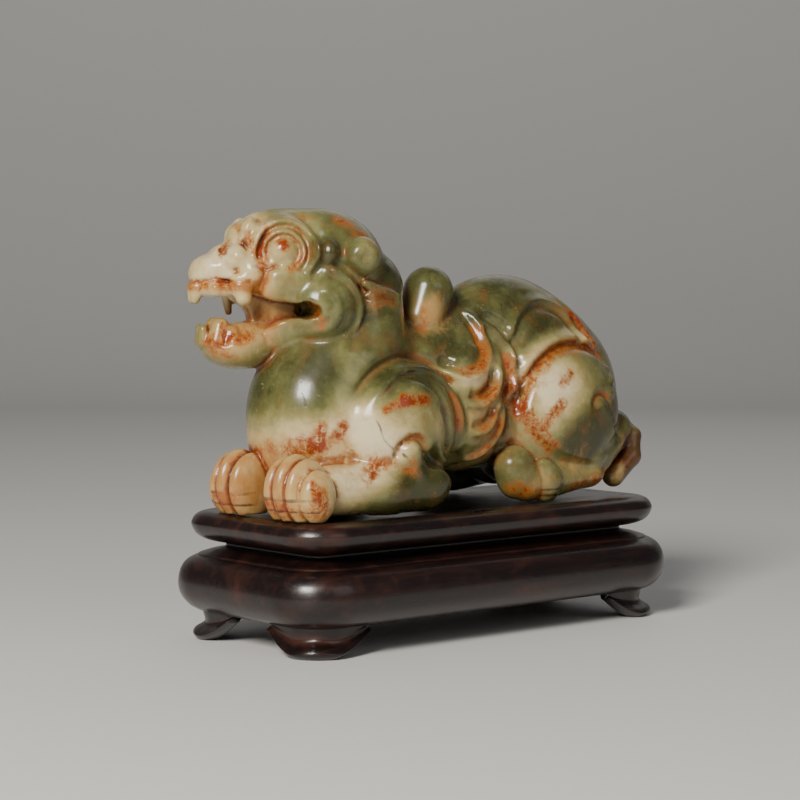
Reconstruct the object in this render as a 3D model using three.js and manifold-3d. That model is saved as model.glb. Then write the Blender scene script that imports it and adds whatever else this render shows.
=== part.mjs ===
// Jade mythical beast lying on its carved hardwood stand.
// Millimetres, +Z up. The beast faces -X and the photographed side is -Y.
// The origin is the centre of the stand on the ground.

import * as THREE from "three";
import Module from "manifold-3d";

const wasm = await Module();
wasm.setup();
const { Manifold, Mesh: SolidMesh } = wasm;

// Driving sizes of the stand
const noseOverhang = 0.8;
const sideMargin = 4.9;
const standHeight = 29.6;
const cornerRadius = 14.1;
const plateInset = 3.1;
const waistInset = 11;
const bodyBottom = 6.4;
const waistHeight = 21.7;
const footLength = 15.6;
const toeInset = 3.3;
const footInset = 3.8;
const stemInset = 5.9;
const stemDepth = 2.6;
const standFacets = 2300;

// Driving sizes of the beast
const beastHeight = 70;
const seatGap = 0.3;
const beastFacets = 7300;

// The carving is laid out in seventieths of its own height
const share = beastHeight / 70;
const cell = 1.1;

// Stone and wood as they look in the photograph
const jadeLook = { color: 0xc9c7a4, roughness: 0.28, metalness: 0 };
const woodLook = { color: 0x24130e, roughness: 0.32, metalness: 0 };

// Blend two distances with a fillet of size k
function blend(a, b, k) {
  const h = Math.max(k - Math.abs(a - b), 0) / k;
  return Math.min(a, b) - h * h * k * 0.25;
}

// Cut b out of a with a fillet of size k
function cut(a, b, k) {
  return -blend(-a, b, k);
}

// Distance to a rounded lump with three radii
function lump(p, centre, radii) {
  const u = (p[0] - centre[0]) / radii[0];
  const v = (p[1] - centre[1]) / radii[1];
  const w = (p[2] - centre[2]) / radii[2];
  const near = Math.sqrt(u * u + v * v + w * w);
  const slope = Math.sqrt((u / radii[0]) ** 2 + (v / radii[1]) ** 2 + (w / radii[2]) ** 2) + 1e-6;
  return (near * (near - 1)) / slope;
}

// Distance to a limb that tapers from its start to its end
function limb(p, start, end, startRadius, endRadius) {
  const way = end.map((v, k) => v - start[k]);
  const off = p.map((v, k) => v - start[k]);
  const dot = off[0] * way[0] + off[1] * way[1] + off[2] * way[2];
  const t = THREE.MathUtils.clamp(dot / (way[0] ** 2 + way[1] ** 2 + way[2] ** 2), 0, 1);
  const gap = Math.hypot(off[0] - t * way[0], off[1] - t * way[1], off[2] - t * way[2]);
  return gap - startRadius - t * (endRadius - startRadius);
}

// Join further lumps and limbs to a distance, each with its own fillet
function withLumps(d, p, rows) {
  return rows.reduce((sum, [centre, radii, fillet]) => blend(sum, lump(p, centre, radii), fillet), d);
}

function withLimbs(d, p, rows) {
  return rows.reduce((sum, [a, b, ra, rb, fillet]) => blend(sum, limb(p, a, b, ra, rb), fillet), d);
}

// Round swell of a given width about a distance of zero
function swell(distance, width) {
  const t = distance / width;
  return t * t < 9 ? Math.exp(-t * t) : 0;
}

// Carved fold along an arc: a ridge with a dip on its inner and its outer side.
// The angles are in degrees, anticlockwise, and the fold dies away at both ends
function fold(u, v, cu, cv, radius, start, end, rise, inner, outer, width, taper = 2.2) {
  const gap = Math.hypot(u - cu, v - cv) - radius;
  if (Math.abs(gap) > 6 * width) return 0;
  const turn = (((THREE.MathUtils.radToDeg(Math.atan2(v - cv, u - cu)) - start) % 360) + 360) % 360;
  const reach = THREE.MathUtils.degToRad(Math.min(turn, end - start - turn)) * radius;
  const crest = rise * swell(gap, width);
  const dips = inner * swell(gap + 1.7 * width, 1.3 * width) + outer * swell(gap - 1.7 * width, 1.3 * width);
  return THREE.MathUtils.smoothstep(reach, 0, taper * width) * (crest - dips);
}

// Straight ridge, or a groove where the rise is below zero
function stroke(u, v, start, end, rise, width) {
  const du = end[0] - start[0];
  const dv = end[1] - start[1];
  const dot = (u - start[0]) * du + (v - start[1]) * dv;
  const t = THREE.MathUtils.clamp(dot / (du * du + dv * dv), 0, 1);
  return rise * swell(Math.hypot(u - start[0] - t * du, v - start[1] - t * dv), width);
}

// Sum of carved folds and strokes at one place
function carving(u, v, folds, strokes) {
  let relief = 0;
  for (const row of folds) relief += fold(u, v, ...row);
  for (const row of strokes) relief += stroke(u, v, ...row);
  return relief;
}

// Head, in its own frame: forward, sideways, up. It is turned about the neck
const headPivot = [-28, 0];
const headTurn = 0.4366;
const forward = [-Math.cos(headTurn), Math.sin(headTurn)];

// Skull, brow, muzzle, jaw scroll and chin as centre, radii and fillet
const cranium = [[5, 0, 55], [16, 12, 13.8]];
const skull = [
  [[15.3, 0, 58], [11.3, 9, 10.4], 4],
  [[15, 0, 51.5], [12, 9.5, 6], 4],
  [[12, 0, 42.5], [9, 9, 8], 4],
  [[4.6, 6, 46.2], [9.6, 9.2, 9.6], 1.6],
  [[22.8, 0, 37.4], [9, 7.6, 5.2], 1.2],
  [[26.2, 0, 55.2], [7.9, 6.9, 3.8], 1.6],
  [[30.2, 0, 53.6], [4.3, 5, 2.5], 1],
  [[24.6, 0, 53.6], [6.5, 7.4, 2.4], 1],
  [[25, 2.2, 57.6], [4.6, 4.6, 3.3], 1.2],
];

// Teeth and gums as start, end, both radii and fillet
const teeth = [
  [[31.8, 1.6, 50.8], [29, 4.9, 50.7], 1.9, 1.9, 0.5],
  [[29, 4.9, 50.7], [22, 5.9, 50.7], 1.9, 1.9, 0.5],
  [[32.8, 1.5, 50.8], [33.2, 1.5, 48.2], 1.8, 1.1, 0.4],
  [[23.6, 6.9, 51.4], [23.4, 8, 48.5], 3.3, 1.8, 0.3],
  [[31.2, 1.8, 38.6], [31.4, 1.8, 41.4], 1.6, 1.2, 0.5],
  [[28.5, 3.4, 38.6], [27.9, 3.4, 42], 2.6, 2.1, 0.5],
  [[26, 3.9, 38.6], [25.4, 3.9, 40.4], 2.3, 2, 0.5],
  [[25.2, 5.2, 38.4], [19.5, 5, 39], 1.9, 1.7, 0.5],
];

// Brow knobs, nose, cheeks, eyes, horn stumps and ears
const features = [
  [[23.4, 1.9, 62.2], [2.4, 2.9, 3.1], 1],
  [[21.2, 6, 62.4], [2.8, 3.2, 4.3], 0.7],
  [[23.8, 5.8, 57.4], [4.3, 3.7, 3.3], 0.9],
  [[21, 7.6, 54.4], [3.2, 2.8, 3.2], 1.2],
  [[14.2, 8.4, 52.6], [5.2, 2.9, 3.3], 2.6],
  [[14, 6.2, 62.5], [5.5, 4, 5], 2],
  [[14.7, 8.5, 58.9], [3.1, 2.9, 3.6], 0.3],
  [[5.7, 10, 58.6], [3.9, 3.8, 3.7], 0.5],
  [[-3.1, 10.2, 57.8], [4.3, 4.2, 4.5], 0.5],
];

const headFolds = [
  [14.7, 58.9, 4.5, -30, 240, 0.6, 0.8, 0.7, 0.6],
  [14.3, 59.3, 6.7, -20, 235, 1, 0.1, 0.8, 0.9],
  [6.6, 45.9, 9.4, 100, 300, 0.9, 0.3, 1.2, 0.9],
  [7.6, 45.8, 4.6, 90, 300, 0.3, 0.3, 0.1, 0.9],
  [6.6, 45.9, 11.2, 185, 305, -1.7, 0, 0, 1.2],
  [18.6, 58.2, 3.4, -150, -30, -0.7, 0, 0, 0.5],
];
const headStrokes = [
  [[18.8, 53.6], [20.2, 48.6], -0.8, 0.9],
  [[34.5, 51.9], [22.5, 52.3], -0.6, 0.45],
];

function head(x, y, z) {
  const f = (x - headPivot[0]) * forward[0] + (y - headPivot[1]) * forward[1];
  const side = (x - headPivot[0]) * forward[1] - (y - headPivot[1]) * forward[0];
  const s = Math.abs(side);
  const p = [f, s, z];
  let d = lump(p, ...cranium);
  if (d > 26) return d;
  d = withLumps(d, p, skull);
  const front = limb([f, 0, z], [24, 0, 44.4], [40, 0, 44.4], 6.2, 7.4);
  const slit = limb([f, 0, z], [8.5, 0, 45.6], [14.5, 0, 45.6], 1.4, 1.9);
  const rear = blend(slit, limb([f, 0, z], [15, 0, 45.6], [24, 0, 44.4], 2, 6.2), 1);
  d = cut(d, Math.max(front, 25.6 - f), 0.8);
  d = cut(d, Math.max(rear, 3 - s), 0.8);
  d = cut(d, limb(p, [10.6, 16, 45.8], [8.8, 2, 45.8], 2.1, 1.8), 0.5);
  d = blend(d, lump(p, [21.8, 1.8, 40], [6.6, 3.4, 3]), 0.8);
  d = withLimbs(d, p, teeth);
  d = blend(d, limb([f, side, z], [24.6, 6, 49], [24.2, 6, 45.2], 1.3, 0.8), 0.5);
  d = withLumps(d, p, features);
  for (let k = 0; k < 4; k++) {
    d = blend(d, limb(p, [-3.5, 9.6, 44.5 + 2.3 * k], [-12.5, 6.2, 46.4 + 0.8 * k], 1.5, 0.7), 0.3);
  }
  if (Math.abs(d) > 4) return d;
  const dimple = swell(Math.hypot(f + 3, z - 57.4), 1.4) * THREE.MathUtils.smoothstep(s, 9, 12);
  const relief = carving(f, z, headFolds, headStrokes) - dimple;
  return d - THREE.MathUtils.smoothstep(s, 4, 7) * relief;
}

// Carving on both flanks, seen from the side: shoulder band and curl, the flames
// behind it, the haunch with its bands and its hooked curl
const flankFolds = [
  [-19.8, 17.4, 15.6, -12, 160, 0.8, 0.4, 1.3, 1, 9],
  [-24.6, 17.4, 12.4, -12, 110, 0.1, 0, 0.9, 0.9, 9],
  [-25, 15.4, 14, -8, 44, -1.9, 0, 0, 1.2],
  [-9.4, 16.8, 6.3, 184, 345, 0.5, 0, 1.3, 0.9],
  [-24.6, 13.4, 3.8, -25, 206, -1.5, 0, 0, 1],
  [-2.7, 39.2, 9.2, -140, 70, 0.9, 1, 0.2, 1.1],
  [-0.2, 32, 8.4, -115, 7, 1.2, 1.7, 0.2, 1.1],
  [1.2, 31.4, 12.6, -48, 66, 0.9, 0.7, 1.5, 1.1],
  [0.2, 23.9, 6.9, -112, 9, 0.9, 1.4, 0.2, 1],
  [-2.1, 21.4, 11.4, -92, 12, 0.9, 0.7, 1.5, 1.1],
  [26.4, 34.8, 12.9, 10, 190, 0.7, 0.8, 0.3, 1],
  [32.5, 18.5, 20.6, 55, 160, 0.9, 0, 0.3, 1.2],
  [33, 18.5, 18.2, 40, 175, -1.3, 0, 0, 1],
  [36.4, 32.3, 23, -170, -72, 0.4, 0, 1, 1.4],
  [37.5, 21.8, 3.3, -10, 195, -1.2, 0, 0, 0.9],
];
const flankStrokes = [
  [[-24.4, 14.4], [-22.4, 9.6], 0.9, 1.8],
  [[13.2, 34], [12.8, 22], 0.6, 1],
  [[11.2, 27], [10.8, 13], -1, 1],
  [[35, 49], [43.4, 37.6], 0.7, 1],
  [[36.8, 43], [42, 36.8], -0.6, 0.9],
  [[40.7, 21.4], [43.2, 17.7], -1.1, 0.9],
  [[43.2, 17.7], [48.6, 14.1], -0.8, 0.9],
  [[37.6, 22], [42.5, 15.5], 0.8, 1.6],
];

// Trunk, legs and tail. The limbs lie alike about the middle line of the body,
// which leans to one side at the forequarters
const foreMiddle = -3.2;
const rump = [[34.6, 0, 23.4], [24, 15.8, 22.8]];
const body = [
  [[21.8, 0, 34.6], [23.8, 14, 19.2], 6],
  [[3, 0, 27], [26, 15, 18.5], 6],
  [[4, 0, 18.5], [26, 15.5, 11], 5],
  [[-31.6, 0.9, 21.6], [18, 16.8, 20.2], 5],
  [[-33, 1, 14], [14.6, 14, 12], 4],
];
const shoulders = [
  [[-19.6, 10, 20.3], [16.4, 9.4, 15.6], 1.2],
  [[-23.2, 11, 18.2], [12.2, 9.3, 12.6], 3.5],
  [[31.5, 9.7, 20.3], [19.3, 11.8, 18.8], 1.5],
  [[2, 12.5, 24], [10.5, 4.4, 13.5], 2],
];
const limbs = [
  [[-16.2, 14.2, 6.8], [-28, 13.4, 6], 6.8, 5.8, 2.2],
  [[-28, 13.4, 6], [-42, 11.5, 6], 5.8, 5.6, 2.4],
  [[51.8, 9.8, 15.4], [38, 14.5, 6.8], 5, 4.6, 1.2],
  [[38, 14.5, 6.8], [24, 15.5, 4.6], 4.6, 4.4, 1.5],
  [[13.4, 14.6, 8.6], [17.2, 15.4, 4.4], 4.6, 4.5, 0.8],
];
const toes = [
  [[-50, 6.4, 6.2], [6.2, 2.7, 7.6], 0.5],
  [[-50.6, 10.4, 6.6], [6.2, 2.8, 7.9], 0.5],
  [[-50, 13.8, 6.2], [6, 2.4, 7.4], 0.5],
  [[-49.6, 16.6, 5.4], [4.6, 3, 5.9], 0.5],
  [[14.4, 14.3, 7], [4.7, 4.7, 6.4], 0.8],
  [[21.8, 17.2, 5], [4.4, 3.6, 5.6], 0.6],
];
const tail = [
  [[54.4, -4, 21], [56.7, -12, 13.6], 2, 2.3, 0.8],
  [[56.7, -12, 13.6], [55.2, -13, 8.6], 2.3, 2.6, 0.8],
  [[55.2, -13, 8.6], [49.8, -12.4, 4], 2.6, 2.8, 0.8],
];

function trunk(x, y, z) {
  const s = Math.abs(y - foreMiddle * (1 - THREE.MathUtils.smoothstep(x, -34, 12)));
  const p = [x, y, z];
  const q = [x, s, z];
  let d = withLumps(lump(p, ...rump), p, body);
  d = blend(d, limb(p, [-26, -1, 34], [-21.5, 0, 50], 14.2, 10.2), 5);
  d = withLumps(d, q, shoulders);
  d = blend(d, limb(p, [-3, -3, 49.8], [-5.6, -3, 43.6], 5.9, 5.4), 0.8);
  d = withLimbs(d, q, limbs);
  d = withLumps(d, q, toes);
  d = withLimbs(d, p, tail);
  d = cut(d, lump(q, [-17.2, 20.6, 12.2], [3.2, 3.6, 2.4]), 0.8);
  if (Math.abs(d) > 4) return d;
  return d - THREE.MathUtils.smoothstep(s, 5, 10) * carving(x, z, flankFolds, flankStrokes);
}

// Whole carving, cut off level where it sits
function beast(x, y, z) {
  return Math.max(blend(trunk(x, y, z), head(x, y, z), 1.2), -z);
}

// Box about the carving, grown on each side until it stands clear of the stone.
// Its underside stays just below the level where the beast sits
function clearBox(field, step) {
  const box = [[-20 * step, -2 * step, -1.5 * step], [20 * step, 2 * step, 30 * step]];
  const touches = (side, axis) => {
    const [u, v] = [(axis + 1) % 3, (axis + 2) % 3];
    const p = [];
    p[axis] = box[side][axis];
    for (p[u] = box[0][u]; p[u] <= box[1][u]; p[u] += 2 * step) {
      for (p[v] = box[0][v]; p[v] <= box[1][v]; p[v] += 2 * step) {
        if (field(...p) < 1.5 * step) return true;
      }
    }
    return false;
  };
  for (let grown = true; grown; ) {
    grown = false;
    for (const [side, axis] of [[0, 0], [1, 0], [0, 1], [1, 1], [1, 2]]) {
      while (touches(side, axis)) {
        box[side][axis] += side ? step : -step;
        grown = true;
      }
    }
  }
  return box;
}

// Skin of a distance field, cell by cell, each cell split into six tetrahedra
function skin(field, lo, hi, step) {
  const n = [0, 1, 2].map((k) => Math.ceil((hi[k] - lo[k]) / step) + 1);
  const at = (i, j, k) => (k * n[1] + j) * n[0] + i;
  const value = new Float32Array(n[0] * n[1] * n[2]).fill(9);
  const coarse = 4;
  for (let k = 0; k < n[2]; k += coarse) {
    for (let j = 0; j < n[1]; j += coarse) {
      for (let i = 0; i < n[0]; i += coarse) {
        const half = (coarse - 1) / 2;
        const mid = field(lo[0] + (i + half) * step, lo[1] + (j + half) * step, lo[2] + (k + half) * step);
        const reach = coarse * step * 1.25;
        const near = Math.abs(mid) < reach;
        for (let c = k; c < Math.min(k + coarse, n[2]); c++) {
          for (let b = j; b < Math.min(j + coarse, n[1]); b++) {
            for (let a = i; a < Math.min(i + coarse, n[0]); a++) {
              value[at(a, b, c)] = near
                ? field(lo[0] + a * step, lo[1] + b * step, lo[2] + c * step)
                : mid;
            }
          }
        }
      }
    }
  }
  const corner = [
    [0, 0, 0], [1, 0, 0], [0, 1, 0], [1, 1, 0],
    [0, 0, 1], [1, 0, 1], [0, 1, 1], [1, 1, 1],
  ];
  const splits = [
    [0, 1, 3, 7], [0, 3, 2, 7], [0, 2, 6, 7],
    [0, 6, 4, 7], [0, 4, 5, 7], [0, 5, 1, 7],
  ];
  const points = [];
  const faces = [];
  const made = new Map();
  const crossing = (p, q) => {
    const key = p < q ? p * value.length + q : q * value.length + p;
    let index = made.get(key);
    if (index === undefined) {
      const t = Math.min(Math.max(value[p] / (value[p] - value[q]), 0.02), 0.98);
      const place = (id) => [id % n[0], Math.floor(id / n[0]) % n[1], Math.floor(id / (n[0] * n[1]))];
      const a = place(p);
      const b = place(q);
      index = points.length / 3;
      for (let k = 0; k < 3; k++) points.push(lo[k] + (a[k] + t * (b[k] - a[k])) * step);
      made.set(key, index);
    }
    return index;
  };
  for (let k = 0; k < n[2] - 1; k++) {
    for (let j = 0; j < n[1] - 1; j++) {
      for (let i = 0; i < n[0] - 1; i++) {
        const ids = corner.map((c) => at(i + c[0], j + c[1], k + c[2]));
        const inside = ids.filter((id) => value[id] < 0).length;
        if (inside === 0 || inside === 8) continue;
        for (const split of splits) {
          const four = split.map((c) => ids[c]);
          const inner = four.filter((id) => value[id] < 0);
          const outer = four.filter((id) => value[id] >= 0);
          if (!inner.length || !outer.length) continue;
          const tris = [];
          if (inner.length === 1) tris.push(outer.map((id) => crossing(inner[0], id)));
          else if (outer.length === 1) tris.push(inner.map((id) => crossing(id, outer[0])));
          else {
            const a = crossing(inner[0], outer[0]);
            const b = crossing(inner[0], outer[1]);
            const c = crossing(inner[1], outer[1]);
            const e = crossing(inner[1], outer[0]);
            tris.push([a, b, c], [a, c, e]);
          }
          const from = inner[0];
          const to = outer[0];
          const way = [
            (to % n[0]) - (from % n[0]),
            (Math.floor(to / n[0]) % n[1]) - (Math.floor(from / n[0]) % n[1]),
            Math.floor(to / (n[0] * n[1])) - Math.floor(from / (n[0] * n[1])),
          ];
          for (const tri of tris) {
            const [a, b, c] = tri.map((v) => points.slice(3 * v, 3 * v + 3));
            const u = [b[0] - a[0], b[1] - a[1], b[2] - a[2]];
            const v = [c[0] - a[0], c[1] - a[1], c[2] - a[2]];
            const facing =
              (u[1] * v[2] - u[2] * v[1]) * way[0] +
              (u[2] * v[0] - u[0] * v[2]) * way[1] +
              (u[0] * v[1] - u[1] * v[0]) * way[2];
            faces.push(facing > 0 ? tri : [tri[0], tri[2], tri[1]]);
          }
        }
      }
    }
  }
  return { points: Float64Array.from(points), faces };
}

// Thin a closed skin to a wanted number of facets, flattest edges first
function thin(points, faces, wanted) {
  const count = points.length / 3;
  const quad = new Float64Array(count * 10);
  const around = Array.from({ length: count }, () => new Set());
  const tri = faces.map((f) => f.slice());
  const alive = new Uint8Array(tri.length).fill(1);
  const normalOf = (a, b, c) => {
    const ux = points[3 * b] - points[3 * a];
    const uy = points[3 * b + 1] - points[3 * a + 1];
    const uz = points[3 * b + 2] - points[3 * a + 2];
    const vx = points[3 * c] - points[3 * a];
    const vy = points[3 * c + 1] - points[3 * a + 1];
    const vz = points[3 * c + 2] - points[3 * a + 2];
    return [uy * vz - uz * vy, uz * vx - ux * vz, ux * vy - uy * vx];
  };
  tri.forEach((f, index) => {
    const n = normalOf(...f);
    const size = Math.hypot(...n) || 1e-12;
    const [a, b, c] = n.map((v) => v / size);
    const d = -(a * points[3 * f[0]] + b * points[3 * f[0] + 1] + c * points[3 * f[0] + 2]);
    const terms = [a * a, a * b, a * c, a * d, b * b, b * c, b * d, c * c, c * d, d * d];
    for (const v of f) {
      around[v].add(index);
      for (let k = 0; k < 10; k++) quad[v * 10 + k] += (terms[k] * size) / 2;
    }
  });
  const costAt = (v, w, x, y, z) => {
    const q = (k) => quad[v * 10 + k] + quad[w * 10 + k];
    return (
      q(0) * x * x + 2 * q(1) * x * y + 2 * q(2) * x * z + 2 * q(3) * x +
      q(4) * y * y + 2 * q(5) * y * z + 2 * q(6) * y +
      q(7) * z * z + 2 * q(8) * z + q(9)
    );
  };
  const bestPlace = (v, w) => {
    const q = (k) => quad[v * 10 + k] + quad[w * 10 + k];
    const [a, b, c, d, e, f, g, h, i] = [q(0), q(1), q(2), q(3), q(4), q(5), q(6), q(7), q(8)];
    const det = a * (e * h - f * f) - b * (b * h - f * c) + c * (b * f - e * c);
    const va = [points[3 * v], points[3 * v + 1], points[3 * v + 2]];
    const wa = [points[3 * w], points[3 * w + 1], points[3 * w + 2]];
    const mid = va.map((m, k) => (m + wa[k]) / 2);
    const span = Math.hypot(va[0] - wa[0], va[1] - wa[1], va[2] - wa[2]);
    const size = Math.max(a, e, h);
    if (Math.abs(det) > 1e-5 * size * size * size) {
      const x = (-d * (e * h - f * f) + b * (g * h - f * i) - c * (g * f - e * i)) / det;
      const y = (a * (-g * h + f * i) + d * (b * h - f * c) + c * (-b * i + g * c)) / det;
      const z = (a * (-e * i + g * f) - b * (-b * i + g * c) - d * (b * f - e * c)) / det;
      if (Math.hypot(x - mid[0], y - mid[1], z - mid[2]) < span) return [x, y, z];
    }
    const ranked = [va, wa, mid].map((m) => [costAt(v, w, ...m), m]);
    ranked.sort((m, n) => m[0] - n[0]);
    return ranked[0][1];
  };
  const heap = [];
  const push = (item) => {
    let i = heap.push(item) - 1;
    while (i > 0) {
      const p = (i - 1) >> 1;
      if (heap[p].cost <= item.cost) break;
      heap[i] = heap[p];
      i = p;
    }
    heap[i] = item;
  };
  const pop = () => {
    const top = heap[0];
    const last = heap.pop();
    if (heap.length) {
      let i = 0;
      for (;;) {
        let c = 2 * i + 1;
        if (c >= heap.length) break;
        if (c + 1 < heap.length && heap[c + 1].cost < heap[c].cost) c++;
        if (heap[c].cost >= last.cost) break;
        heap[i] = heap[c];
        i = c;
      }
      heap[i] = last;
    }
    return top;
  };
  const stamp = new Uint32Array(count);
  const offer = (v, w) => {
    const place = bestPlace(v, w);
    const span = Math.hypot(
      points[3 * v] - points[3 * w],
      points[3 * v + 1] - points[3 * w + 1],
      points[3 * v + 2] - points[3 * w + 2],
    );
    push({ v, w, place, cost: costAt(v, w, ...place) + 1e-6 * span, sv: stamp[v], sw: stamp[w] });
  };
  for (const f of tri) {
    for (let k = 0; k < 3; k++) if (f[k] < f[(k + 1) % 3]) offer(f[k], f[(k + 1) % 3]);
  }
  const ringOf = (v) => {
    const ring = new Set();
    for (const index of around[v]) for (const p of tri[index]) if (p !== v) ring.add(p);
    return ring;
  };
  const turnsOver = (v, w, place) => {
    for (const index of around[v]) {
      const f = tri[index];
      if (f.includes(w)) continue;
      const before = normalOf(...f);
      const kept = [points[3 * v], points[3 * v + 1], points[3 * v + 2]];
      for (let k = 0; k < 3; k++) points[3 * v + k] = place[k];
      const after = normalOf(...f);
      for (let k = 0; k < 3; k++) points[3 * v + k] = kept[k];
      const dot = before[0] * after[0] + before[1] * after[1] + before[2] * after[2];
      if (dot < 0.2 * Math.hypot(...before) * Math.hypot(...after) + 1e-14) return true;
    }
    return false;
  };
  let left = tri.length;
  while (left > wanted && heap.length) {
    const { v, w, place, sv, sw } = pop();
    if (sv !== stamp[v] || sw !== stamp[w]) continue;
    const ring = ringOf(v);
    let shared = 0;
    for (const p of ringOf(w)) if (ring.has(p)) shared++;
    if (shared !== 2) continue;
    if (turnsOver(v, w, place) || turnsOver(w, v, place)) continue;
    for (let k = 0; k < 3; k++) points[3 * v + k] = place[k];
    for (let k = 0; k < 10; k++) quad[v * 10 + k] += quad[w * 10 + k];
    for (const index of around[w]) {
      const f = tri[index];
      if (f.includes(v)) {
        alive[index] = 0;
        left--;
        for (const p of f) if (p !== w) around[p].delete(index);
      } else {
        f[f.indexOf(w)] = v;
        around[v].add(index);
      }
    }
    around[w].clear();
    stamp[w]++;
    stamp[v]++;
    for (const p of ringOf(v)) offer(Math.min(v, p), Math.max(v, p));
  }
  const rename = new Map();
  const keptPoints = [];
  const keptFaces = [];
  tri.forEach((f, index) => {
    if (!alive[index]) return;
    for (const p of f) {
      if (!rename.has(p)) {
        rename.set(p, rename.size);
        keptPoints.push(points[3 * p], points[3 * p + 1], points[3 * p + 2]);
      }
      keptFaces.push(rename.get(p));
    }
  });
  return { points: keptPoints, faces: keptFaces };
}

function geometryOf(points, faces) {
  const geometry = new THREE.BufferGeometry();
  geometry.setAttribute("position", new THREE.Float32BufferAttribute(points, 3));
  geometry.setIndex(Array.from(faces));
  geometry.computeVertexNormals();
  return geometry;
}

// The carved beast, closed and flat where it sits
const raw = skin(beast, ...clearBox(beast, cell), cell);
const thinned = thin(raw.points, raw.faces, beastFacets);
const beastPoints = thinned.points.map((v, i) => (i % 3 === 2 && v < 0.15 ? 0 : v) * share);
const beastMesh = new THREE.Mesh(
  geometryOf(beastPoints, thinned.faces),
  new THREE.MeshStandardMaterial(jadeLook),
);
beastMesh.name = "jade_beast";
beastMesh.position.z = standHeight + seatGap;

// The stand follows the beast: its sides lie outside it, the nose reaches past its end
const reach = [0, 0, 0];
beastPoints.forEach((v, i) => {
  reach[i % 3] = Math.max(reach[i % 3], Math.abs(v));
});
const standLength = 2 * (reach[0] - noseOverhang);
const standWidth = 2 * (reach[1] + sideMargin);

// Rounded rectangle drawn in from the widest outline of the stand
function outline(inset, height) {
  const a = standLength / 2 - inset;
  const b = standWidth / 2 - inset;
  const r = Math.max(cornerRadius - inset, 2.5);
  const steps = 7;
  const ring = [];
  for (let corner = 0; corner < 4; corner++) {
    const cx = (corner === 0 || corner === 3 ? 1 : -1) * (a - r);
    const cy = (corner < 2 ? 1 : -1) * (b - r);
    for (let i = 0; i <= steps; i++) {
      const angle = ((corner + i / steps) * Math.PI) / 2;
      ring.push([cx + r * Math.cos(angle), cy + r * Math.sin(angle), height]);
    }
  }
  return ring;
}

// Closed solid from rings of equal count, capped at both ends
function ringSolid(rings) {
  const count = rings[0].length;
  const points = rings.flat(2);
  const faces = [];
  for (let r = 0; r + 1 < rings.length; r++) {
    for (let i = 0; i < count; i++) {
      const j = (i + 1) % count;
      const a = r * count;
      const b = a + count;
      faces.push(a + i, a + j, b + j, a + i, b + j, b + i);
    }
  }
  const cap = (ring, start, up) => {
    const flat = ring.map((p) => new THREE.Vector2(p[0], p[1]));
    for (const t of THREE.ShapeUtils.triangulateShape(flat, [])) {
      const [a, b, c] = t.map((k) => start + k);
      faces.push(...(up ? [a, b, c] : [a, c, b]));
    }
  };
  cap(rings[0], 0, false);
  cap(rings.at(-1), (rings.length - 1) * count, true);
  const mesh = new SolidMesh({
    numProp: 3,
    vertProperties: Float32Array.from(points),
    triVerts: Uint32Array.from(faces),
  });
  mesh.merge();
  return new Manifold(mesh);
}

// Part of a rounded edge in section, as inset and height
function roundOver(middleInset, middleHeight, reachIn, reachUp, from, to, steps) {
  const points = [];
  for (let i = 0; i <= steps; i++) {
    const angle = THREE.MathUtils.degToRad(from + ((to - from) * i) / steps);
    points.push([middleInset - reachIn * Math.cos(angle), middleHeight + reachUp * Math.sin(angle)]);
  }
  return points;
}

// Section of the stand from its underside up to the seat
const bulgeMiddle = (bodyBottom + waistHeight) / 2 - 0.8;
const bulgeReach = bulgeMiddle - bodyBottom;
const plateMiddle = (waistHeight + standHeight) / 2 + 0.5;
const plateReach = standHeight - plateMiddle;
const section = [
  [waistInset + 1, bodyBottom],
  ...roundOver(6, bulgeMiddle, 6, bulgeReach, -86, 62, 9),
  [4.5, waistHeight - 2.5],
  [4.9, waistHeight - 1.7],
  [8, waistHeight - 0.9],
  [waistInset, waistHeight - 0.2],
  [waistInset, waistHeight + 0.5],
  ...roundOver(plateInset + 5.3, plateMiddle, 5.3, plateReach, -82, 90, 8),
];
let stand = ringSolid(section.map(([inset, height]) => outline(inset, height)));

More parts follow.
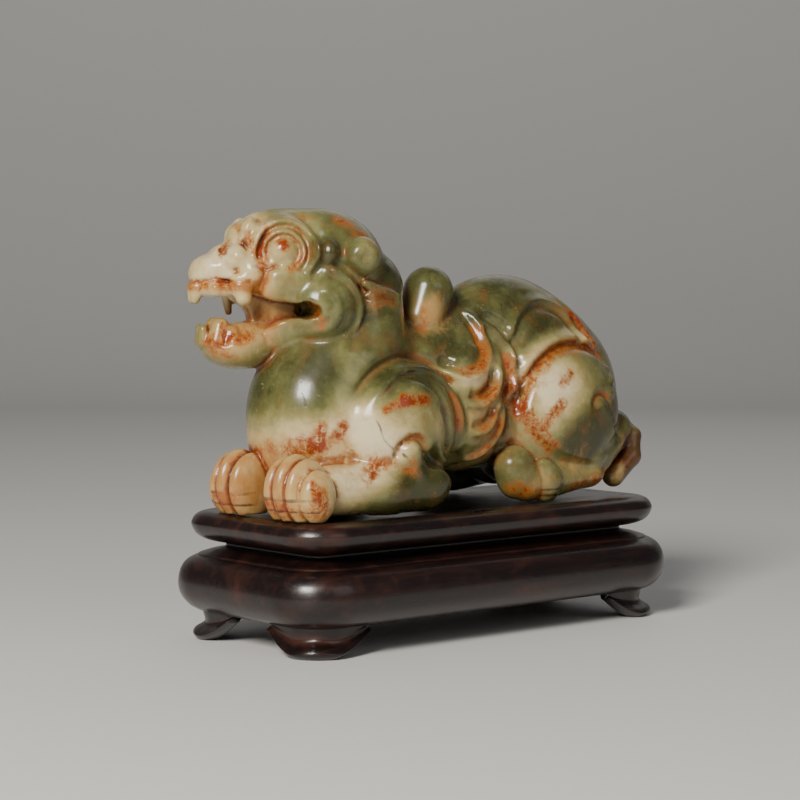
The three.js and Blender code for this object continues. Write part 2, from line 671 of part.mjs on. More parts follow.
// One corner foot: a thin bracket under the body, round the corner, that kicks out to a toe below
function foot() {
  const arc = ((cornerRadius - footInset) * Math.PI) / 4;
  const steps = 14;
  const loops = [];
  for (let i = 0; i <= steps; i++) {
    const along = ((2 * i) / steps - 1) * footLength;
    const part = Math.min(Math.abs(along) / footLength, 0.985);
    const lift = 5.2 * Math.max((part - 0.3) / 0.7, 0) ** 1.6;
    const top = bodyBottom + 0.6;
    const toeTop = Math.min(lift + 1.9 * (1 - part) + 0.7, top - 0.4);
    const flare = toeInset + (stemInset - 0.7 - toeInset) * part ** 1.5;
    const loop = [
      [flare + 1.2, lift],
      [flare, (lift + toeTop) / 2],
      [flare + 0.6, toeTop],
      [stemInset + 0.2, toeTop + 0.35 * (top - toeTop)],
      [stemInset - 0.3, top],
      [stemInset + stemDepth, top],
      [stemInset + stemDepth, lift],
    ];
    const angle = (Math.min(Math.max(along / arc, -1), 1) * Math.PI) / 4 + Math.PI / 4;
    const beyond = Math.abs(along) > arc ? Math.abs(along) - arc : 0;
    const side = along < 0 ? [0, -beyond] : [-beyond, 0];
    loops.push(
      loop.map(([inset, height]) => [
        standLength / 2 - cornerRadius + (cornerRadius - inset) * Math.cos(angle) + side[0],
        standWidth / 2 - cornerRadius + (cornerRadius - inset) * Math.sin(angle) + side[1],
        height,
      ]),
    );
  }
  const count = loops[0].length;
  const faces = [];
  for (let r = 0; r + 1 < loops.length; r++) {
    for (let i = 0; i < count; i++) {
      const j = (i + 1) % count;
      const a = r * count;
      const b = a + count;
      faces.push(a + i, b + j, a + j, a + i, b + i, b + j);
    }
  }
  const last = (loops.length - 1) * count;
  for (let i = 1; i + 1 < count; i++) {
    faces.push(0, i, i + 1, last, last + i + 1, last + i);
  }
  const mesh = new SolidMesh({
    numProp: 3,
    vertProperties: Float32Array.from(loops.flat(2)),
    triVerts: Uint32Array.from(faces),
  });
  mesh.merge();
  return new Manifold(mesh);
}

const cornerFoot = foot();
for (const [mx, my] of [[0, 0], [1, 0], [0, 1], [1, 1]]) {
  let placed = cornerFoot;
  if (mx) placed = placed.mirror([1, 0, 0]);
  if (my) placed = placed.mirror([0, 1, 0]);
  stand = stand.add(placed);
}

// Joined stand, with its needless slivers taken out
const joined = stand.getMesh();
const standFaces = [];
for (let i = 0; i < joined.triVerts.length; i += 3) {
  standFaces.push(Array.from(joined.triVerts.slice(i, i + 3)));
}
const standSkin = thin(Float64Array.from(joined.vertProperties), standFaces, standFacets);
const standPoints = standSkin.points.map((v, i) => (i % 3 === 2 && v < 0.02 ? 0 : v));
const standMesh = new THREE.Mesh(
  geometryOf(standPoints, standSkin.faces),
  new THREE.MeshStandardMaterial(woodLook),
);
standMesh.name = "wood_stand";

const object = new THREE.Group();
object.name = "jade_beast_on_stand";
object.add(standMesh, beastMesh);

export default object;
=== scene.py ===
# Jade mythical beast lying on its dark hardwood stand.
# Blender works in metres; the carving's own sums are in millimetres above the seat.
import bpy
import math
import numpy as np
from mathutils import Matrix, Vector


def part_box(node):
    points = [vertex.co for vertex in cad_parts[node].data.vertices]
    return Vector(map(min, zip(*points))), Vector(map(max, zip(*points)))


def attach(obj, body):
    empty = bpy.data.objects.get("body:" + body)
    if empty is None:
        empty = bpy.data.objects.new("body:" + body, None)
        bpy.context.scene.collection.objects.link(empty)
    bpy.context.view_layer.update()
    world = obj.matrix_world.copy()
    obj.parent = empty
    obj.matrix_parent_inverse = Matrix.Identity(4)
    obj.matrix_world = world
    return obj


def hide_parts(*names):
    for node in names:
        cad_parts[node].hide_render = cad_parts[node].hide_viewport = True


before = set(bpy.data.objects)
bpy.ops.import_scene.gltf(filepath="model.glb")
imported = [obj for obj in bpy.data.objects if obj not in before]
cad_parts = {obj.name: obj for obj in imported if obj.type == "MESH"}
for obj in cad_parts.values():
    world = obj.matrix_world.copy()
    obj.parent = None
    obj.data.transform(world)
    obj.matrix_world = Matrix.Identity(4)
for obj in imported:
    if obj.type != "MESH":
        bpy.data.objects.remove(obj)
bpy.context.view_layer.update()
print("frame loaded")

mm = 0.001
beastLow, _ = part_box("jade_beast")
_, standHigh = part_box("wood_stand")


# Sculpting with distances, all in millimetres
def softUnion(a, b, k):
    h = np.maximum(k - np.abs(a - b), 0) / k
    return np.minimum(a, b) - h * h * (k * 0.25)


def softCut(a, b, k):
    return -softUnion(-a, b, k)


def lump(p, centre, radii):
    q = [(p[i] - centre[i]) / radii[i] for i in range(3)]
    near = np.sqrt(q[0] ** 2 + q[1] ** 2 + q[2] ** 2)
    slope = np.sqrt(sum((q[i] / radii[i]) ** 2 for i in range(3))) + 1e-6
    return near * (near - 1) / slope


def limb(p, start, end, startRadius, endRadius):
    way = [end[i] - start[i] for i in range(3)]
    t = sum((p[i] - start[i]) * way[i] for i in range(3)) / sum(v * v for v in way)
    t = np.clip(t, 0, 1)
    gap = np.sqrt(sum((p[i] - start[i] - t * way[i]) ** 2 for i in range(3)))
    return gap - startRadius - t * (endRadius - startRadius)


def ease(x, start, end):
    t = np.clip((x - start) / (end - start), 0, 1)
    return t * t * (3 - 2 * t)


def swell(distance, width):
    return np.exp(-((distance / width) ** 2))


def fold(u, v, cu, cv, radius, start, end, rise, inner, outer, width, taper=2.2):
    gap = np.hypot(u - cu, v - cv) - radius
    turn = (np.degrees(np.arctan2(v - cv, u - cu)) - start) % 360
    reach = np.minimum(turn, end - start - turn) * (math.pi / 180 * radius)
    dips = inner * swell(gap + 1.7 * width, 1.3 * width) + outer * swell(gap - 1.7 * width, 1.3 * width)
    return ease(reach, 0, taper * width) * (rise * swell(gap, width) - dips)


def stroke(u, v, start, end, rise, width):
    du, dv = end[0] - start[0], end[1] - start[1]
    t = np.clip(((u - start[0]) * du + (v - start[1]) * dv) / (du * du + dv * dv), 0, 1)
    return rise * swell(np.hypot(u - start[0] - t * du, v - start[1] - t * dv), width)


def addLumps(d, p, rows):
    for centre, radii, fillet in rows:
        d = softUnion(d, lump(p, centre, radii), fillet)
    return d


# Head: it turns about a pivot, and its own places are ahead of that, out to a side and up.
# A lump's row is its centre, radii and fillet, and a tooth's its ends and two radii.
headPivot = (-28.0, 0.0)
headTurn = 0.4366


def headFrame(x, y):
    fx, fy = -math.cos(headTurn), math.sin(headTurn)
    dx, dy = x - headPivot[0], y - headPivot[1]
    return dx * fx + dy * fy, dx * fy - dy * fx


skullCore = ([5, 0, 55], [16, 12, 13.8])
skull = (
    ([15.3, 0, 58], [11.3, 9, 10.4], 4),
    ([15, 0, 51.5], [12, 9.5, 6], 4),
    ([12, 0, 42.5], [9, 9, 8], 4),
    ([4.6, 6, 46.2], [9.6, 9.2, 9.6], 1.6),
    ([22.8, 0, 37.4], [9.0, 7.6, 5.2], 1.2),
    ([26.2, 0, 55.2], [7.9, 6.9, 3.8], 1.6),
    ([30.2, 0, 53.6], [4.3, 5.0, 2.5], 1.0),
    ([24.6, 0, 53.6], [6.5, 7.4, 2.4], 1.0),
    ([25.0, 2.2, 57.6], [4.6, 4.6, 3.3], 1.2),
)
features = (
    ([23.4, 1.9, 62.2], [2.4, 2.9, 3.1], 1.0),
    ([21.2, 6.0, 62.4], [2.8, 3.2, 4.3], 0.7),
    ([23.8, 5.8, 57.4], [4.3, 3.7, 3.3], 0.9),
    ([21.0, 7.6, 54.4], [3.2, 2.8, 3.2], 1.2),
    ([14.2, 8.4, 52.6], [5.2, 2.9, 3.3], 2.6),
    ([14, 6.2, 62.5], [5.5, 4, 5], 2.0),
    ([14.7, 8.5, 58.9], [3.1, 2.9, 3.6], 0.3),
    ([5.7, 10.0, 58.6], [3.9, 3.8, 3.7], 0.5),
    ([-3.1, 10.2, 57.8], [4.3, 4.2, 4.5], 0.5),
)
teeth = (
    ([31.8, 1.6, 50.8], [29.0, 4.9, 50.7], 1.9, 1.9),
    ([29.0, 4.9, 50.7], [22, 5.9, 50.7], 1.9, 1.9),
    ([32.8, 1.5, 50.8], [33.2, 1.5, 48.2], 1.8, 1.1),
    ([23.6, 6.9, 51.4], [23.4, 8.0, 48.5], 3.3, 1.8),
    ([31.2, 1.8, 38.6], [31.4, 1.8, 41.4], 1.6, 1.2),
    ([28.5, 3.4, 38.6], [27.9, 3.4, 42.0], 2.6, 2.1),
    ([26.0, 3.9, 38.6], [25.4, 3.9, 40.4], 2.3, 2.0),
    ([25.2, 5.2, 38.4], [19.5, 5.0, 39.0], 1.9, 1.7),
)
tongue = ([21.8, 1.8, 40.0], [6.6, 3.4, 3.0], 0.8)
sideTooth = ([24.6, 6, 49], [24.2, 6, 45.2], 1.3, 0.8)
# The mouth opens right through ahead of gapeEnd. Behind it the slit between the jaws comes in from
# each side up to a web of stone.
gape = ([24, 0, 44.4], [40, 0, 44.4], 6.2, 7.4)
gapeEnd = 25.6
slitRear = ([8.5, 0, 45.6], [14.5, 0, 45.6], 1.4, 1.9)
slitFront = ([15, 0, 45.6], [24, 0, 44.4], 2.0, 6.2)
webHalf = 3.0
mouthCorner = ([10.6, 16, 45.8], [8.8, 2, 45.8], 2.1, 1.8)
maneLocks = 4
# A fold's row is its centre, radius, first and last degree, rise, inner dip, outer dip and width
headFolds = (
    (14.7, 58.9, 4.5, -30, 240, 0.6, 0.8, 0.7, 0.6),
    (14.3, 59.3, 6.7, -20, 235, 1.0, 0.1, 0.8, 0.9),
    (6.6, 45.9, 9.4, 100, 300, 0.9, 0.3, 1.2, 0.9),
    (7.6, 45.8, 4.6, 90, 300, 0.3, 0.3, 0.1, 0.9),
    (6.6, 45.9, 11.2, 185, 305, -1.7, 0, 0, 1.2),
    (18.6, 58.2, 3.4, -150, -30, -0.7, 0, 0, 0.5),
)
# A stroke's row is its ends, rise and width
headStrokes = (
    ((18.8, 53.6), (20.2, 48.6), -0.8, 0.9),
    ((34.5, 51.9), (22.5, 52.3), -0.6, 0.45),
)
nostrilRims = (
    ((26.2, 61), (27.6, 58.9), 0.8, 0.6),
    ((27.6, 58.9), (26.6, 57.9), 0.7, 0.6),
)
earHollow = (-3.0, 57.4)
earHollowWidth = 1.4


def headField(x, y, z, fine=True):
    f, side = headFrame(x, y)
    s = np.abs(side)
    p = (f, s, z)
    d = addLumps(lump(p, *skullCore), p, skull)
    flat = (f, 0 * s, z)
    slit = softUnion(limb(flat, *slitRear), limb(flat, *slitFront), 1)
    d = softCut(d, np.maximum(limb(flat, *gape), gapeEnd - f), 0.8)
    d = softCut(d, np.maximum(slit, webHalf - s), 0.8)
    d = softCut(d, limb(p, *mouthCorner), 0.5)
    d = addLumps(d, p, [tongue])
    for tooth in teeth:
        d = softUnion(d, limb(p, *tooth), 0.4)
    d = softUnion(d, limb((f, side, z), *sideTooth), 0.5)
    d = addLumps(d, p, features)
    for k in range(maneLocks):
        d = softUnion(d, limb(p, [-3.5, 9.6, 44.5 + 2.3 * k], [-12.5, 6.2, 46.4 + 0.8 * k], 1.5, 0.7), 0.3)
    if not fine:
        return d
    relief = sum(fold(f, z, *row) for row in headFolds) + sum(stroke(f, z, *row) for row in headStrokes)
    earCup = swell(np.hypot(f - earHollow[0], z - earHollow[1]), earHollowWidth) * ease(s, 9, 12)
    nostril = sum(stroke(f, z, *row) for row in nostrilRims)
    return d - ease(s, 4, 7) * (relief - earCup) + ease(s, 1.5, 3.5) * nostril


# Bands on both flanks, along and up: round the shoulder and elbow, the curl and the flames behind
# it, over and round the haunch, and at the knee. The longest ones end in their own long taper.
flankFolds = (
    (-19.8, 17.4, 15.6, -12, 160, 0.8, 0.4, 1.3, 1.0, 9),
    (-24.6, 17.4, 12.4, -12, 110, 0.1, 0, 0.9, 0.9, 9),
    (-25.0, 15.4, 14.0, -8, 44, -1.9, 0, 0, 1.2),
    (-9.4, 16.8, 6.3, 184, 345, 0.5, 0, 1.3, 0.9),
    (-24.6, 13.4, 3.8, -25, 206, -1.5, 0, 0, 1.0),
    (-2.7, 39.2, 9.2, -140, 70, 0.9, 1.0, 0.2, 1.1),
    (-0.2, 32, 8.4, -115, 7, 1.2, 1.7, 0.2, 1.1),
    (1.2, 31.4, 12.6, -48, 66, 0.9, 0.7, 1.5, 1.1),
    (0.2, 23.9, 6.9, -112, 9, 0.9, 1.4, 0.2, 1.0),
    (-2.1, 21.4, 11.4, -92, 12, 0.9, 0.7, 1.5, 1.1),
    (26.4, 34.8, 12.9, 10, 190, 0.7, 0.8, 0.3, 1.0),
    (32.5, 18.5, 20.6, 55, 160, 0.9, 0, 0.3, 1.2),
    (33.0, 18.5, 18.2, 40, 175, -1.3, 0, 0, 1.0),
    (36.4, 32.3, 23.0, -170, -72, 0.4, 0, 1.0, 1.4),
    (37.5, 21.8, 3.3, -10, 195, -1.2, 0, 0, 0.9),
)
flankStrokes = (
    ((-24.4, 14.4), (-22.4, 9.6), 0.9, 1.8),
    ((13.2, 34), (12.8, 22), 0.6, 1.0),
    ((11.2, 27), (10.8, 13), -1.0, 1.0),
    ((35, 49), (43.4, 37.6), 0.7, 1.0),
    ((36.8, 43), (42, 36.8), -0.6, 0.9),
    ((40.7, 21.4), (43.2, 17.7), -1.1, 0.9),
    ((43.2, 17.7), (48.6, 14.1), -0.8, 0.9),
    ((37.6, 22), (42.5, 15.5), 0.8, 1.6),
)
rumpBeads = ((44.7, 31.4), (43.4, 28.1), (41.8, 25.2))


def flankRelief(x, z):
    relief = sum(fold(x, z, *row) for row in flankFolds) + sum(stroke(x, z, *row) for row in flankStrokes)
    return relief + sum(0.8 * swell(np.hypot(x - bx, z - bz), 1.2) for bx, bz in rumpBeads)


# The shoulders lie a little nearer to the photographed side than the haunches
shoulderShift = -3.2


def lean(x):
    return shoulderShift * (1 - ease(x, -34, 12))


# Trunk: each row is a lump's centre, radii and fillet, or a limb's ends, two radii and fillet.
# The neck, the ball on the back and the tail stand by themselves. The rest is alike on both sides.
trunkCore = ([34.6, 0, 23.4], [24, 15.8, 22.8])
trunk = (
    ([21.8, 0, 34.6], [23.8, 14, 19.2], 6),
    ([3, 0, 27], [26, 15, 18.5], 6),
    ([4, 0, 18.5], [26, 15.5, 11], 5),
    ([-31.6, 0.9, 21.6], [18, 16.8, 20.2], 5),
    ([-33, 1, 14], [14.6, 14, 12], 4),
)
neck = ([-26, -1, 34], [-21.5, 0, 50], 14.2, 10.2)
backBall = ([-3, -3, 49.8], [-5.6, -3, 43.6], 5.9, 5.4)
flanks = (
    ([-19.6, 10, 20.3], [16.4, 9.4, 15.6], 1.2),
    ([-23.2, 11, 18.2], [12.2, 9.3, 12.6], 3.5),
    ([31.5, 9.7, 20.3], [19.3, 11.8, 18.8], 1.5),
    ([2, 12.5, 24], [10.5, 4.4, 13.5], 2),
)
elbowHollow = ([-17.2, 20.6, 12.2], [3.2, 3.6, 2.4])
limbs = (
    ([-16.2, 14.2, 6.8], [-28, 13.4, 6], 6.8, 5.8, 2.2),
    ([-28, 13.4, 6], [-42, 11.5, 6], 5.8, 5.6, 2.4),
    ([51.8, 9.8, 15.4], [38, 14.5, 6.8], 5.0, 4.6, 1.2),
    ([38, 14.5, 6.8], [24, 15.5, 4.6], 4.6, 4.4, 1.5),
    ([13.4, 14.6, 8.6], [17.2, 15.4, 4.4], 4.6, 4.5, 0.8),
)
tail = (
    ([54.4, -4, 21], [56.7, -12, 13.6], 2.0, 2.3),
    ([56.7, -12, 13.6], [55.2, -13, 8.6], 2.3, 2.6),
    ([55.2, -13, 8.6], [49.8, -12.4, 4.0], 2.6, 2.8),
)
toes = (
    ([-50.0, 6.4, 6.2], [6.2, 2.7, 7.6], 0.5),
    ([-50.6, 10.4, 6.6], [6.2, 2.8, 7.9], 0.5),
    ([-50.0, 13.8, 6.2], [6.0, 2.4, 7.4], 0.5),
    ([-49.6, 16.6, 5.4], [4.6, 3.0, 5.9], 0.5),
    ([14.4, 14.3, 7.0], [4.7, 4.7, 6.4], 0.8),
    ([21.8, 17.2, 5.0], [4.4, 3.6, 5.6], 0.6),
)


def trunkField(x, y, z, fine=True):
    s = np.abs(y - lean(x))
    p = (x, y, z)
    q = (x, s, z)
    d = addLumps(lump(p, *trunkCore), p, trunk)
    d = softUnion(d, limb(p, *neck), 5)
    d = addLumps(d, q, flanks)
    d = softUnion(d, limb(p, *backBall), 0.8)
    for *ends, fillet in limbs:
        d = softUnion(d, limb(q, *ends), fillet)
    d = addLumps(d, q, toes)
    for ends in tail:
        d = softUnion(d, limb(p, *ends), 0.8)
    d = softCut(d, lump(q, *elbowHollow), 0.8)
    if not fine:
        return d
    return d - ease(s, 5, 10) * flankRelief(x, z)


def beastField(x, y, z, fine=True):
    return np.maximum(softUnion(trunkField(x, y, z, fine), headField(x, y, z, fine), 1.2), -z)


# Skin of a distance field on a grid whose steps may differ along each axis
def gridField(field, axes):
    counts = [len(a) for a in axes]
    block = 4
    starts = [np.arange(0, n, block) for n in counts]
    middles = [a[np.minimum(s + block // 2, len(a) - 1)] for a, s in zip(axes, starts)]
    coarse = field(*np.meshgrid(*middles, indexing="ij"))
    span = max(float(np.diff(a).max()) for a in axes) * block
    grid = np.repeat(np.repeat(np.repeat(coarse, block, 0), block, 1), block, 2)
    grid = grid[: counts[0], : counts[1], : counts[2]].astype(np.float32)
    i, j, k = np.nonzero(np.abs(grid) < span * 1.3)
    for part in np.array_split(np.arange(len(i)), 8):
        at = (i[part], j[part], k[part])
        grid[at] = field(axes[0][at[0]], axes[1][at[1]], axes[2][at[2]])
    return grid


def netSurface(field, axes):
    grid = gridField(field, axes)
    inside = grid < 0
    corners = [(a, b, c) for a in (0, 1) for b in (0, 1) for c in (0, 1)]

    def corner(array, c):
        return array[tuple(slice(c[n], array.shape[n] - 1 + c[n]) for n in range(3))]

    total = sum(corner(inside, c).astype(np.int8) for c in corners)
    cells = np.argwhere((total > 0) & (total < 8))
    index = np.full(total.shape, -1, np.int64)
    index[tuple(cells.T)] = np.arange(len(cells))
    gather = np.zeros((len(cells), 3))
    hits = np.zeros(len(cells))
    for a in corners:
        for axis in range(3):
            if a[axis]:
                continue
            b = tuple(1 if n == axis else a[n] for n in range(3))
            va = grid[tuple((cells + a).T)]
            vb = grid[tuple((cells + b).T)]
            cross = (va < 0) != (vb < 0)
            t = np.where(cross, va / np.where(cross, va - vb, 1), 0)
            for n in range(3):
                pa = axes[n][cells[:, n] + a[n]]
                pb = axes[n][cells[:, n] + b[n]]
                gather[:, n] += np.where(cross, pa + t * (pb - pa), 0)
            hits += cross
    points = gather / hits[:, None]
    quads = []
    for axis in range(3):
        u, v = (axis + 1) % 3, (axis + 2) % 3
        ahead = tuple(slice(1, None) if n == axis else slice(None) for n in range(3))
        behind = tuple(slice(None, -1) if n == axis else slice(None) for n in range(3))
        for sign in (True, False):
            edges = np.argwhere((inside[behind] == sign) & (inside[ahead] != sign))
            edges = edges[(edges[:, u] > 0) & (edges[:, v] > 0)]
            ring = []
            for du, dv in ((1, 1), (0, 1), (0, 0), (1, 0)):
                cell = edges.copy()
                cell[:, u] -= du
                cell[:, v] -= dv
                ring.append(index[tuple(cell.T)])
            quad = np.stack(ring, 1)
            quads.append(quad if sign else quad[:, ::-1])
    return points, np.concatenate(quads)


def slopeOf(field, points, reach=0.05):
    parts = []
    for n in range(3):
        shift = np.zeros(3)
        shift[n] = reach
        parts.append(field(*(points + shift).T) - field(*(points - shift).T))
    return np.stack(parts, 1) / (2 * reach)


def settle(field, points, rounds):
    for _ in range(rounds):
        slope = slopeOf(field, points)
        steep = np.maximum((slope**2).sum(1), 0.2)
        move = np.clip(field(*points.T) / steep, -0.4, 0.4)
        points = points - slope * move[:, None]
    return points


def meshPiece(name, points, faces):
    mesh = bpy.data.meshes.new(name)
    mesh.from_pydata(np.asarray(points).tolist(), [], [list(f) for f in faces])
    mesh.validate()
    mesh.shade_smooth()
    piece = bpy.data.objects.new(name, mesh)
    bpy.context.scene.collection.objects.link(piece)
    return piece


def paintMap(piece, name, values):
    layer = piece.data.attributes.new(name, "FLOAT", "POINT")
    layer.data.foreach_set("value", np.asarray(values, np.float32))


# Materials: a socket with operators, and one method for every other node
class Wire:
    def __init__(self, sheet, socket):
        self.sheet = sheet
        self.socket = socket

    def sum(self, kind, first, second):
        return self.sheet.node("ShaderNodeMath", {"operation": kind}, {0: first, 1: second})

    def __add__(self, other):
        return self.sum("ADD", self, other)

    def __radd__(self, other):
        return self.sum("ADD", other, self)

    def __sub__(self, other):
        return self.sum("SUBTRACT", self, other)

    def __rsub__(self, other):
        return self.sum("SUBTRACT", other, self)

    def __mul__(self, other):
        return self.sum("MULTIPLY", self, other)

    def __rmul__(self, other):
        return self.sum("MULTIPLY", other, self)

    def magnitude(self):
        return self.sheet.node("ShaderNodeMath", {"operation": "ABSOLUTE"}, {0: self})

    def clamp(self):
        return self.sheet.node("ShaderNodeClamp", {}, {"Value": self})

    def between(self, low, high):
        settings = {"interpolation_type": "SMOOTHSTEP", "clamp": True}
        inputs = {"Value": self, "From Min": low, "From Max": high}
        return self.sheet.node("ShaderNodeMapRange", settings, inputs)


class MaterialSheet:
    def __init__(self, name):
        self.material = bpy.data.materials.new(name)
        self.material.use_nodes = True
        self.tree = self.material.node_tree
        self.tree.nodes.clear()

    def node(self, kind, settings, inputs, output=0):
        made = self.tree.nodes.new(kind)
        for key, value in settings.items():
            if key == "stops":
                while len(made.color_ramp.elements) < len(value):
                    made.color_ramp.elements.new(1)
                for element, (position, colour) in zip(made.color_ramp.elements, value):
                    element.position = position
                    element.color = (*colour, 1)
            else:
                setattr(made, key, value)
        for key, value in inputs.items():
            socket = made.inputs[key]
            if isinstance(value, Wire):
                self.tree.links.new(value.socket, socket)
            elif isinstance(value, tuple) and len(value) == 3 and socket.type == "RGBA":
                socket.default_value = (*value, 1)
            else:
                socket.default_value = value
        return Wire(self, made.outputs[output])

    def place(self):
        return self.node("ShaderNodeTexCoord", {}, {}, "Object")

    def stretch(self, place, scale):
        return self.node("ShaderNodeMapping", {}, {"Vector": place, "Scale": scale})

    def map(self, name):
        return self.node("ShaderNodeAttribute", {"attribute_name": name}, {}, "Fac")

    def noise(self, place, scale, detail=4, rough=0.55, twist=0):
        inputs = {"Vector": place, "Scale": scale, "Detail": detail, "Roughness": rough, "Distortion": twist}
        return self.node("ShaderNodeTexNoise", {}, inputs, "Fac")

    def mix(self, factor, under, over):
        return self.node("ShaderNodeMix", {"data_type": "RGBA"}, {"Factor": factor, 6: under, 7: over}, 2)

    def bump(self, height, strength, distance):
        inputs = {"Height": height, "Strength": strength, "Distance": distance}
        return self.node("ShaderNodeBump", {}, inputs)

    def finish(self, inputs):
        skin = self.node("ShaderNodeBsdfPrincipled", {}, inputs)
        out = self.tree.nodes.new("ShaderNodeOutputMaterial")
        self.tree.links.new(skin.socket, out.inputs["Surface"])
        return self.material


